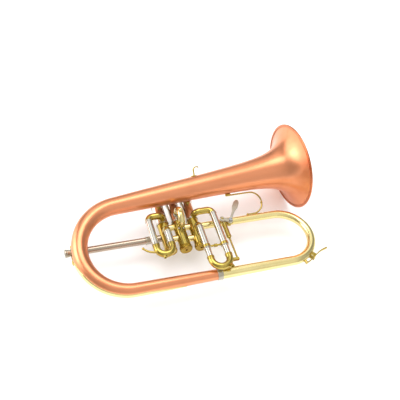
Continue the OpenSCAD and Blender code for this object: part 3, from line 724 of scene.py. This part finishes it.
def make_front_bow():
    """The brass bow in front, and the lower tube that feeds it."""
    angles = [math.pi * k / 90 for k in range(91)]
    outs = [Vector((math.sin(a), math.cos(a), 0)) for a in angles]
    middle = Vector((FRONT_X, TAIL_Y + FRONT_R, 0))
    shape = Shape()
    swept(shape, [middle + out * FRONT_R for out in outs], outs, -Z,
          [UPPER_R + (LOWER_R - UPPER_R) * a / math.pi for a in angles], THIN_WALL, 64)
    shape.piece("front_bow_tube", brass, "horn", ("front_bow",), 60)

    shape = Shape()
    straight_tube(shape, TAIL_END, TAIL_R, FRONT_X, LOWER_R, THIN_WALL, 64)
    shape.piece("lower_tube_turned", brass, "horn", ("lower_tube",), 60)


def make_ferrules():
    """The beaded ferrules on the tail and on the leadpipe."""
    shape = Shape()
    tail_ring = beaded(TAIL_END - 3, TAIL_END + 6, TAIL_R + 0.6, TAIL_R - 0.05)
    turned(shape, (0, TAIL_Y, 0), X, tail_ring, 64)
    turned(shape, (0, LEAD_Y, LEAD_Z), X, beaded(-62, -51, 6.6, 5.85), 56)
    shape.piece("beaded_ferrules", nickel_dull, "horn", ("ferrules",))


# ---------------------------------------------------------------- valves

def make_piston_tops():
    """Casing rings, buttons, pearls and felts, for each valve."""
    button = [(126.0, 2.5), (126.0, 6.6), (126.5, 7.6), (127.3, 8.0), (129.0, 8.0), (129.7, 7.5),
              (129.7, 6.2), (127.6, 6.2), (127.6, 2.5)]
    arc = [math.pi / 2 * k / 8 for k in range(9)]
    dome = [(127.6, 0.001), (127.6, 6.1)] + [(129.3 + 0.9 * math.sin(a), 6.1 * math.cos(a)) for a in arc]
    ring = [(123.5, 2.55), (123.6, 5.7), (124.0, 6.0), (125.5, 6.05), (125.9, 5.7), (126.0, 2.55)]
    for number, x in VALVES.items():
        body = "valve_%s_piston" % number
        shape = Shape()
        for low, high in ((57.0, 60.2), (94.6, 97.0)):
            turned(shape, (x, 0, 0), Y, beaded(low, high, 10.45, 10.1, 0.3, 0.7), 64, 0.08)
        shape.piece("casing_rings_" + number, nickel_small, "horn")

        shape = Shape()
        turned(shape, (x, 0, 0), Y, button, 56, 0.2)
        shape.piece("finger_button_" + number, nickel_small, body, ("button_" + number,))

        shape = Shape()
        turned(shape, (x, 0, 0), Y, dome, 48, 0, False)
        shape.piece("pearl_top_" + number, pearl, body, ("pearl_" + number,), 60)

        shape = Shape()
        turned(shape, (x, 0, 0), Y, ring, 40, 0.25)
        shape.piece("felt_ring_" + number, felt, body, ("felt_" + number,))


def make_caps():
    """The knurled caps, with a vent hole in each bottom one and a hole for the stem in each top one."""
    foot = [(3.0, 1.8), (0.3, 1.8), (0.0, 2.1), (0.0, 5.6), (0.4, 6.0), (0.4, 8.3), (0.0, 8.7),
            (0.0, 9.7), (0.5, 10.3), (1.5, 10.35), (1.9, 10.8), (2.2, 10.9), (5.3, 10.9), (5.6, 10.8),
            (6.0, 10.35), (7.5, 10.35), (7.5, 9.8), (3.0, 9.8)]
    head = [(97.0, 9.9), (97.0, 10.4), (97.6, 10.4), (97.9, 10.8), (98.2, 10.9), (101.6, 10.9),
            (101.9, 10.8), (102.3, 10.3), (103.4, 10.2), (105.2, 8.6), (105.8, 6.9), (107.0, 6.5),
            (107.0, 2.62), (104.0, 2.62), (104.0, 8.4), (97.0, 8.4)]
    teeth, depth, least = 40, 0.28, 10.6
    bottom, top = Shape(), Shape()
    for x in VALVES.values():
        turned(bottom, (x, 0, 0), Y, foot, 0, 0.12, True, (2.0, 5.5, teeth, depth, least))
        turned(top, (x, 0, 0), Y, head, 0, 0.12, True, (98.0, 101.8, teeth, depth, least))
    bottom.piece("knurled_bottom_caps", dark_cap_brass, "horn", ("bottom_caps",), 25)
    top.piece("knurled_top_caps", nickel_small, "horn", ("top_caps",), 25)


# ---------------------------------------------------------------- leadpipe end

def make_receiver():
    """The sliding mouthpipe with its receiver, and the thumbscrew that clamps it."""
    shape = Shape()
    profile = [(-196.0, 4.85), (-196.0, 6.6), (-195.5, 7.2), (-193.4, 7.2), (-193.0, 6.7), (-192.2, 6.5),
               (-191.6, 6.8), (-190.8, 6.8), (-190.2, 6.3), (-187.5, 6.1), (-187.5, 5.4), (-95.0, 5.4),
               (-95.0, 4.3), (-166.0, 4.3), (-166.0, 4.85)]
    turned(shape, (0, LEAD_Y, LEAD_Z), X, profile, 56, 0.2)
    shape.piece("mouthpipe_receiver", nickel_dull, "mouthpipe", ("mouthpipe",))

    shape = Shape()
    top = LEAD_Y - 8.2
    screw = [(LEAD_Y - 23.5, 0.001), (LEAD_Y - 23.5, 3.2), (LEAD_Y - 23.0, 4.1), (LEAD_Y - 22.6, 4.4),
             (LEAD_Y - 17.0, 4.4), (LEAD_Y - 16.6, 4.1), (LEAD_Y - 15.9, 3.4), (LEAD_Y - 14.4, 3.0),
             (LEAD_Y - 14.3, 2.0), (top, 2.0), (top, 0.001)]
    turned(shape, (-183, 0, LEAD_Z), Y, screw, 0, 0.15, False,
           (LEAD_Y - 22.7, LEAD_Y - 16.9, 22, 0.3, 4.2))
    shape.piece("clamp_thumbscrew", shaded_brass_small, "clamp_screw", ("clamp_screw",), 25)


# ---------------------------------------------------------------- slides

def slide_ring(shape, foot, axis, low, high, thick, inner, bead, width):
    """Adds a beaded ring round a slide's tube, thick above a sleeve's radius."""
    return turned(shape, foot, axis, beaded(low, high, SLEEVE_R + thick, inner, bead, width), 48, 0.08)


def make_slide_rings():
    """Ferrule rings where sleeves end, where the crooks start and where the bows take their legs."""
    on_sleeve, on_leg = SLEEVE_R - 0.1, LEG_R + 0.05
    shape = Shape()
    for x in (S1_LEFT, S1_RIGHT):
        slide_ring(shape, (x, 0, S1_Z), Y, 6, 10, 0.35, on_sleeve, 0.25, 0.8)
    for x, low, high in ((S1_LEFT, 53.4, 56.2), (S1_RIGHT, 27.4, 30.0)):
        slide_ring(shape, (x, 0, S1_Z), Y, low, high, 0.25, on_sleeve, 0.2, 0.6)
    shape.piece("first_slide_rings", nickel_small, "horn")

    shape = Shape()
    for x in (S3_LEFT, S3_RIGHT):
        slide_ring(shape, (x, 0, S3_Z), Y, -16, -14.4, 0.3, on_sleeve, 0.2, 0.5)
    for x, low, high in ((S3_LEFT, 27.4, 30.2), (S3_RIGHT, 51.4, 54.2)):
        slide_ring(shape, (x, 0, S3_Z), Y, low, high, 0.25, on_sleeve, 0.2, 0.6)
    shape.piece("third_slide_rings", nickel_small, "horn")

    shape = Shape()
    for x in (S1_LEFT, S1_RIGHT):
        slide_ring(shape, (x, 0, S1_Z), Y, 2.6, 5.0, 0.2, on_leg, 0.2, 0.6)
    shape.piece("first_slide_bow_rings", shaded_brass_small, "first_slide")

    shape = Shape()
    for x in (S3_LEFT, S3_RIGHT):
        slide_ring(shape, (x, 0, S3_Z), Y, -35.0, -32.5, 0.2, on_leg, 0.2, 0.6)
    shape.piece("third_slide_bow_rings", shaded_brass_small, "third_slide")

    shape = Shape()
    for y in (S2_LOW, S2_HIGH):
        slide_ring(shape, (S2_X, y, 0), Z, 16.0, 18.4, 0.15, on_leg, 0.2, 0.6)
    knob_foot = [(30.7, 2.0), (30.7, 3.9), (31.6, 4.1), (32.4, 3.2), (33.2, 2.7), (33.2, 2.0)]
    turned(shape, (S2_X, (S2_LOW + S2_HIGH) / 2, 0), Z, knob_foot, 40, 0.15)
    shape.piece("second_slide_bow_rings", shaded_brass_small, "second_slide")


def make_finger_pull():
    """The curved finger pull soldered to the first slide's bow."""
    curl_r, steps = 24, 24
    foot = Vector((S1_LEFT - 3, -10, S1_Z + 4))
    middle = foot + Y * curl_r
    sweep = [math.radians(214 + 52 * k / steps) for k in range(steps + 1)]
    path = [middle + Vector((math.cos(a), math.sin(a), 0)) * curl_r for a in sweep]
    shape = Shape()
    rod(shape, path, [1.65 + 0.2 * (k / steps) ** 2 for k in range(steps + 1)])
    ball(shape, path[0], 2.2)
    ball(shape, foot, 2.6)
    shape.piece("first_slide_finger_pull", shaded_brass_small, "first_slide", ("slide1_pull",))


# ---------------------------------------------------------------- third-slide trigger

FORK_ANGLE = math.radians(180 - 25)
PADDLE_ANGLE = math.radians(57.4)


def make_trigger_lever():
    """The hub, the stalk with its paddle, and the arm whose fork goes round the push rod's pin."""
    hub = [(-2.2, 1.56), (-2.2, 4.2), (-1.6, 4.6), (1.6, 4.6), (2.2, 4.2), (2.2, 1.56)]
    shape = Shape()
    turned(shape, (PIVOT.x, PIVOT.y, ROD_Z), Z, hub, 40, 0.3)

    along = Vector((math.cos(PADDLE_ANGLE), math.sin(PADDLE_ANGLE), 0))
    across = Z.cross(along)
    stalk_end, paddle_start, tip, steps = 22.0, 32.0, 48.8, 20
    length, half_width = 9.5, 4.9
    lower = [(2.0, -2.6), (8.0, -2.0), (16.0, -1.9), (stalk_end, -2.4)]
    paddle = []
    for k in range(steps + 1):
        a = -math.pi / 2 + math.pi * k / steps
        reach = paddle_start if k in (0, steps) else tip - length + length * math.cos(a)
        paddle.append((reach, half_width * math.sin(a)))
    outline = lower + paddle + [(x, -y) for x, y in reversed(lower)]
    plate(shape, outline, Vector((PIVOT.x, PIVOT.y, ROD_Z - 1.35)), along, across, 2.7, 0.7)

    arm = Vector((math.cos(FORK_ANGLE), math.sin(FORK_ANGLE), 0))
    pin = (PIVOT.x - ROD_X) / -math.cos(FORK_ANGLE)
    side = [(2.0, -2.6), (pin - 3.2, -2.9), (pin - 1.6, -4.3), (pin + 1.8, -4.1), (pin + 3.6, -2.9),
            (pin + 3.9, -1.9), (pin - 3.4, -1.9)]
    fork = side + [(x, -y) for x, y in reversed(side)]
    plate(shape, fork, Vector((PIVOT.x, PIVOT.y, ROD_Z - 1.6)), arm, Z.cross(arm), 3.2, 0.25)
    shape.piece("trigger_thumb_lever", nickel_dull, "trigger", ("trigger_lever",), 30)


def make_trigger_saddle():
    """The post under the lever's hub, on a saddle bent round the upper tube."""
    post = [(1.0, 1.5), (1.0, 4.0), (4.6, 3.9), (5.4, 4.5), (6.4, 4.5), (7.2, 3.7), (9.0, 3.7),
            (9.8, 4.7), (11.0, 4.7), (11.0, 1.5)]
    shape = Shape()
    turned(shape, (PIVOT.x, PIVOT.y + 1.2, 0), Z, post, 40, 0.3)
    arc = [math.radians(a) for a in range(-62, 75, 6)]
    tube = UPPER_R - 0.35
    rows, width = [], 7.5
    for x in (-width, width):
        middle = Vector((PIVOT.x + x, UPPER_Y, 0))
        for skin in (tube - 0.2, tube + 0.9):
            for a in (arc if skin < tube else reversed(arc)):
                rows.append(middle + (Z * math.cos(a) - Y * math.sin(a)) * skin)
    sides = 2 * len(arc)
    ends = [list(range(sides)), [sides + i for i in range(sides)]]
    shape.add(rows, ring_faces(2, sides, False) + ends)
    shape.piece("trigger_saddle", shaded_brass_small, "horn", ("trigger_bracket",), 30)


def make_rod_beads():
    """The beads and the collar on the push rod's barrel."""
    collar = [(0.2, 1.6), (0.2, 2.3), (1.2, 2.8), (3.1, 3.2), (3.1, 1.6)]
    shape = Shape()
    for low, high in ((3, 7), (26, 30)):
        turned(shape, (ROD_X, 0, ROD_Z), Y, beaded(low, high, 4.1, 3.6, 0.3, 0.9), 40, 0.1)
    turned(shape, (ROD_X, 0, ROD_Z), Y, collar, 32, 0.15)
    shape.piece("push_rod_barrel_beads", shaded_brass_small, "third_slide")


# ---------------------------------------------------------------- water key

def key_point(degrees, radius, z=0.0):
    """A point at an angle round the front bow's centre."""
    a = math.radians(degrees)
    return Vector((FRONT_X + radius * math.cos(a), TAIL_Y + FRONT_R + radius * math.sin(a), z))


def make_water_key():
    """The key's barrel, its arm with the cup, its touch, and the cork in the cup."""
    hub = key_point(KEY_HUB_AT, KEY_HUB_R)
    barrel = [(-3.8, 1.26), (-3.8, 2.5), (-3.4, 2.8), (3.4, 2.8), (3.8, 2.5), (3.8, 1.26)]
    shape = Shape()
    turned(shape, hub, Z, barrel, 36, 0.2)
    arc = [key_point(-54.5 - 16.5 * k / 12, KEY_HUB_R + 0.5) for k in range(13)]
    rod(shape, arc, 2.0, 20, 0.45, key_point(-62, 1) - key_point(-62, 0))

    out = math.radians(KEY_HUB_AT)
    radial = Vector((math.cos(out), math.sin(out), 0))
    forward = Vector((-math.sin(out), math.cos(out), 0))
    knots = [hub + radial * r + forward * f
             for r, f in ((0.9, 2.0), (1.7, 9.0), (2.6, 16.0), (4.6, 22.5), (8.0, 30.5))]
    touch = smooth_path(knots, 6)
    rod(shape, touch, [2.0 + 0.05 * k for k in range(len(touch))], 20, 0.42, radial)

    outward = (key_point(KEY_PAD_AT, 1) - key_point(KEY_PAD_AT, 0)).normalized()
    cup = [(0.0, 0.001), (0.0, 3.1), (1.5, 3.1), (1.9, 2.6), (1.9, 0.001)]
    turned(shape, key_point(KEY_PAD_AT, KEY_HUB_R - 0.6), outward, cup, 36, 0.2, False)
    shape.piece("water_key_touch", shaded_brass_small, "water_key", ("water_key_lever",), 35)

    pad = [(0.0, 0.001), (0.0, 2.6), (0.2, 2.8), (1.2, 2.8), (1.2, 0.001)]
    shape = Shape()
    turned(shape, key_point(KEY_PAD_AT, KEY_HUB_R - 1.6), outward, pad, 36, 0.1, False)
    shape.piece("water_key_pad", cork, "water_key", ("water_key_cork",))


# ---------------------------------------------------------------- hook, braces and posts

def bell_radius_at(x):
    """The bell's outer radius where its centre line crosses x."""
    return bell_radius((RIM_X - x) / math.cos(TILT))


def make_finger_hook():
    """A flat hook for the little finger, standing on a round foot on the bell."""
    x = 42.0
    lean = math.radians(28)
    up = UPSLOPE * math.cos(lean) + SLOPE_NORMAL * math.sin(lean)
    base = bell_centre(x) + up * (bell_radius_at(x) - 0.6)
    foot = [(0.1, 0.001), (0.1, 6.0), (0.9, 5.8), (1.7, 4.2), (1.9, 0.001)]
    shape = Shape()
    turned(shape, base, up, foot, 40, 0.25, False)
    turn = [math.radians(180 - 130 * k / 26) for k in range(27)]
    curl_r = 5.5
    middle = base + X * (curl_r + 0.1) + up * 10.4
    curl = [middle + (X * math.cos(a) + up * math.sin(a)) * curl_r for a in turn]
    path = [base + X * 0.1 + up * h for h in (1.0, 3.5, 6.0, 8.5)] + curl
    rod(shape, path, 3.5, 24, 0.32, X)
    shape.piece("little_finger_hook", shaded_brass_small, "horn", ("finger_hook",), 40)


def make_loop_brace():
    """A wire loop from the bell to the upper tube, on a foot at each end."""
    high, low = Vector((96.0, 86.6, 18.6)), Vector((138.0, 50.2, 3.5))
    slope = Vector((0, high.y - low.y, high.z - low.z))
    half = slope.length / 2
    up = slope.normalized()
    middle = low + up * half
    bend = [math.pi / 2 - math.pi * k / 30 for k in range(31)]
    curve = [middle + (X * math.cos(a) + up * math.sin(a)) * half for a in bend]
    path = [high + X * d for d in (0, 8, 16, 24, 32, 38)] + curve + [low - X * d for d in (3, 6, 9, 10.5)]
    shape = Shape()
    rod(shape, path, 1.4, 20)
    ball(shape, low - X * 11.5, 2.2)
    knot = middle + X * (half - 0.9) - up * 2.0
    ball(shape, knot, 2.0)
    foot = [(0.0, 0.001), (0.0, 2.0), (0.8, 2.6), (8.0, 2.6), (9.6, 1.6), (10.0, 0.001)]
    turned(shape, high + Vector((-2.0, 0.8, 0.6)), X, foot, 32, 0.4, False)
    shape.piece("wire_loop_brace", shaded_brass_small, "horn", ("loop_brace",), 40)


def make_posts():
    """Turned posts from the first and third valves to the bell, and from the leadpipe to the bow."""
    shape = Shape()
    post_y = 92
    for x in (-PITCH, PITCH):
        centre = bell_centre(x)
        top = centre.z - math.sqrt((bell_radius_at(x) - 0.4) ** 2 - (post_y - centre.y) ** 2)
        post = [(9.7, 0.001), (9.7, 4.6), (10.9, 4.3), (11.5, 3.2), (top - 1.6, 3.2), (top - 0.6, 4.3),
                (top + 0.2, 4.6), (top + 0.2, 0.001)]
        turned(shape, (x, post_y, 0), Z, post, 36, 0.3, False)
    stub = [(1.9, 0.001), (1.9, 3.4), (2.8, 3.2), (3.4, 2.4), (4.0, 2.6), (4.6, 3.4), (5.2, 3.6),
            (5.2, 0.001)]
    turned(shape, (-171.5, LEAD_Y, 0), Z, stub, 32, 0.2, False)
    shape.piece("turned_posts", shaded_brass_small, "horn", ("braces",))


# ---------------------------------------------------------------- building

make_bell()
make_bow()
make_guard()
make_front_bow()
make_ferrules()
make_piston_tops()
make_caps()
make_receiver()
make_slide_rings()
make_finger_pull()
make_trigger_lever()
make_trigger_saddle()
make_rod_beads()
make_water_key()
make_finger_hook()
make_loop_brace()
make_posts()

# The valve casings, crooks, push rod and brass fittings take the brass darkened for painted shade.
CAD_LOOKS = {
    brass: ("upper_tube", "casing_bridges", "slide2_bow"),
    shaded_brass_upright: ("casing_1", "casing_2", "casing_3", "slide1_crook", "slide3_crook", "trigger_rod"),
    shaded_brass_small: ("clamp_collar", "slide1_bow", "slide3_bow", "slide3_brace", "water_key_saddle"),
    nickel: ("balusters", "slide1_sleeves", "slide1_legs", "slide2_sleeves", "slide2_legs",
             "slide3_sleeves", "slide3_legs", "piston_1", "piston_2", "piston_3"),
    nickel_pipe: ("leadpipe",),
    steel: ("spring_1", "spring_2", "spring_3", "trigger_screw"),
}
for look, names in CAD_LOOKS.items():
    for name in names:
        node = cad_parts[name]
        node.data.materials.clear()
        node.data.materials.append(look)
        for face in node.data.polygons:
            face.material_index = 0

# ---------------------------------------------------------------- stage, light and camera

floor_z = cad_box[0].z - 0.0004
floor_half = 4.0
floor_mesh = bpy.data.meshes.new("studio_floor")
corners = ((-1, -1), (1, -1), (1, 1), (-1, 1))
floor_mesh.from_pydata([(x * floor_half, y * floor_half, floor_z) for x, y in corners], [], [[0, 1, 2, 3]])
floor = bpy.data.objects.new("studio_floor", floor_mesh)
bpy.context.scene.collection.objects.link(floor)
paper = fibre_material("white paper", colour(0.93, 0.93, 0.93), colour(0.90, 0.90, 0.90), 30.0, 0.6, 0.02)
floor_mesh.materials.append(paper)

world = bpy.data.worlds.new("white studio")
bpy.context.scene.world = world
world.use_nodes = True
sky = world.node_tree
direction = sky.nodes.new("ShaderNodeTexCoord")
split = sky.nodes.new("ShaderNodeSeparateXYZ")
sky.links.new(direction.outputs["Generated"], split.inputs[0])


def grey_ramp(tree, factor, stops):
    """A grey ramp over factor, from (position, value) stops."""
    node = tree.nodes.new("ShaderNodeValToRGB")
    elements = node.color_ramp.elements
    for element, (position, value) in zip((elements[0], elements[1]), (stops[0], stops[-1])):
        element.position = position
        element.color = colour(value, value, value)
    for position, value in stops[1:-1]:
        elements.new(position).color = colour(value, value, value)
    tree.links.new(factor, node.inputs["Fac"])
    return node.outputs["Color"]


def half_scale(socket):
    """A direction's component, from -1 to 1, as 0 to 1."""
    return math_node(sky, "MULTIPLY", math_node(sky, "ADD", socket, 1.0), 0.5)


# Mirrored in the metals the room is bright at the back and on the left, with dark gaps between its
# panels. A ramp's stops are (place, brightness), where place goes from 0 at one end of the direction's
# Y or X to 1 at the other.
FRONT_TO_BACK = ((0.0, 0.8), (0.12, 0.85), (0.21, 0.97), (0.32, 0.85), (0.45, 0.98), (0.60, 1.15),
                 (0.75, 1.28), (0.88, 1.35), (0.95, 0.8), (1.0, 0.5))
BACK_SIDE_TO_SIDE = ((0.0, 2.0), (0.17, 2.0), (0.22, 0.25), (0.31, 0.35), (0.35, 1.0), (0.46, 1.0),
                     (0.52, 0.55), (0.60, 0.95), (0.70, 0.9), (0.76, 0.30), (0.90, 0.25), (1.0, 0.6))
FRONT_SIDE_TO_SIDE = ((0.0, 0.5), (0.18, 0.55), (0.35, 0.85), (0.55, 1.0), (0.70, 1.05), (0.82, 0.6),
                      (1.0, 0.5))
FRONT_OR_BACK = ((0.0, 0.0), (0.42, 0.0), (0.58, 1.0), (1.0, 1.0))
across_back = grey_ramp(sky, half_scale(split.outputs["X"]), BACK_SIDE_TO_SIDE)
across_front = grey_ramp(sky, half_scale(split.outputs["X"]), FRONT_SIDE_TO_SIDE)
towards_back = grey_ramp(sky, half_scale(split.outputs["Y"]), FRONT_OR_BACK)
across = mix_colour(sky, towards_back, across_front, across_back)
room = sky.nodes.new("ShaderNodeMix")
room.data_type = "RGBA"
room.blend_type = "MULTIPLY"
room.inputs["Factor"].default_value = 1.0
sky.links.new(grey_ramp(sky, half_scale(split.outputs["Y"]), FRONT_TO_BACK), room.inputs["A"])
sky.links.new(across, room.inputs["B"])

DOME = 1.45
ray = sky.nodes.new("ShaderNodeLightPath")
seen = mix_colour(sky, ray.outputs["Is Glossy Ray"], colour(DOME, DOME, DOME), room.outputs["Result"])
background = sky.nodes["Background"]
sky.links.new(seen, background.inputs["Color"])
background.inputs["Strength"].default_value = 1.0


def soft_light(name, place_at, aim_at, size, power):
    """A rectangular area light, in metres and watts."""
    lamp = bpy.data.lights.new(name, "AREA")
    lamp.shape = "RECTANGLE"
    lamp.size, lamp.size_y = size
    lamp.energy = power
    holder = bpy.data.objects.new(name, lamp)
    bpy.context.scene.collection.objects.link(holder)
    holder.location = place_at
    holder.rotation_euler = (Vector(aim_at) - Vector(place_at)).to_track_quat("-Z", "Y").to_euler()


soft_light("overhead_softbox", (0.1, 0.35, 1.5), (0.2, 0.0, 0.0), (1.2, 0.7), 7.0)
soft_light("left_softbox", (-1.3, 0.35, 0.7), (0.1, 0.0, 0.0), (0.9, 0.9), 6.0)

VIEW_AZIMUTH = math.radians(-25.83)
VIEW_ELEVATION = math.radians(49.38)
VIEW_ROLL = math.radians(11.79)
VIEW_FROM = Vector((-0.0753, -0.6051, 0.8728))
lens_data = bpy.data.cameras.new("view")
lens_data.sensor_width = 36.0
lens_data.lens = 57.97
lens_data.clip_start = 0.05
camera = bpy.data.objects.new("view", lens_data)
bpy.context.scene.collection.objects.link(camera)
back = Vector((math.sin(VIEW_AZIMUTH) * math.cos(VIEW_ELEVATION),
               -math.cos(VIEW_AZIMUTH) * math.cos(VIEW_ELEVATION), math.sin(VIEW_ELEVATION)))
level = Vector((math.cos(VIEW_AZIMUTH), math.sin(VIEW_AZIMUTH), 0))
right = level * math.cos(VIEW_ROLL) + back.cross(level) * math.sin(VIEW_ROLL)
up = back.cross(right)
turned_camera = Matrix((right, up, back)).transposed().to_4x4()
camera.matrix_world = Matrix.Translation(VIEW_FROM) @ turned_camera
bpy.context.scene.camera = camera
bpy.context.scene.view_settings.view_transform = "Standard"
